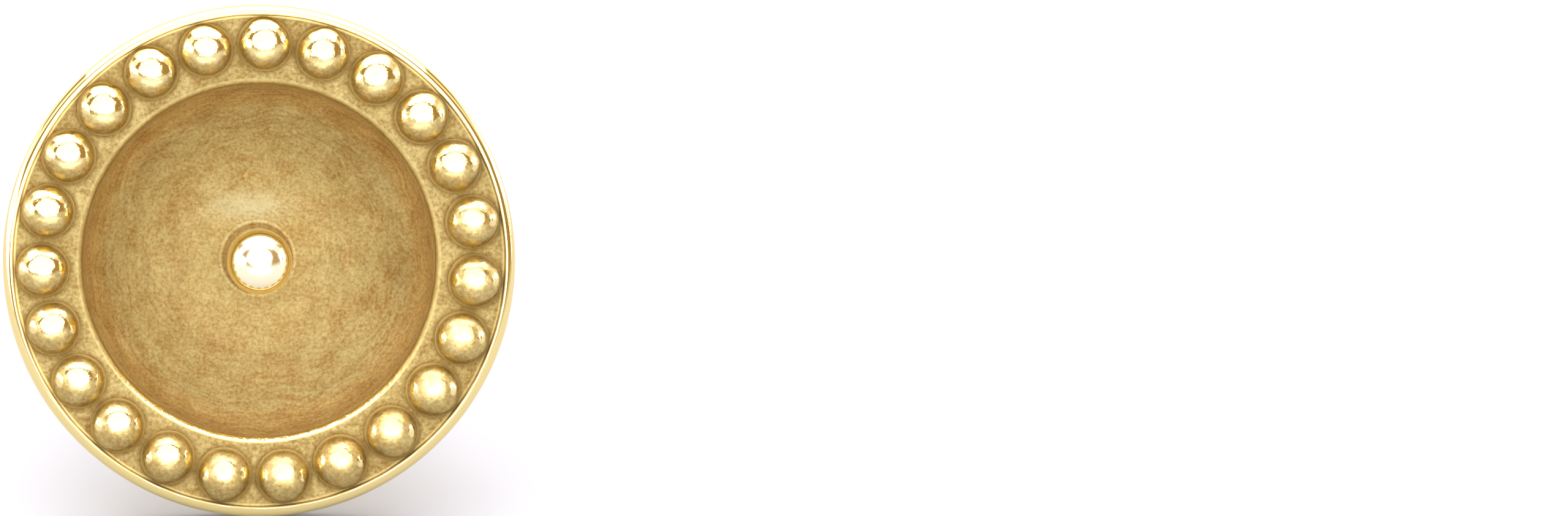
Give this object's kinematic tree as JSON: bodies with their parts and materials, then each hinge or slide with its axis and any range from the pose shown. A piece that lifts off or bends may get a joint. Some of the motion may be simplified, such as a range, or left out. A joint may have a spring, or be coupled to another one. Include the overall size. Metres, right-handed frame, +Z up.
{
  "type": "pearl stud earring setting",
  "caption": "Gold ear stud made to carry a half-drilled pearl: a beaded round head with an open cup and a central peg, on a straight notched post.",
  "frame": {"origin": "on the surface that the stud lies on, below the middle of its box", "axes": "+Z up; +Y the way the post points, with the post tipped down by 19.7 degrees; -Y the way the face looks; +X to the right of the face"},
  "size_m": [0.0096, 0.015, 0.0094],
  "materials": {
    "yellow_gold": "polished yellow gold, satin inside the cup"
  },
  "bodies": {
    "root": {"earring_setting": "yellow_gold"}
  },
  "joints": []
}
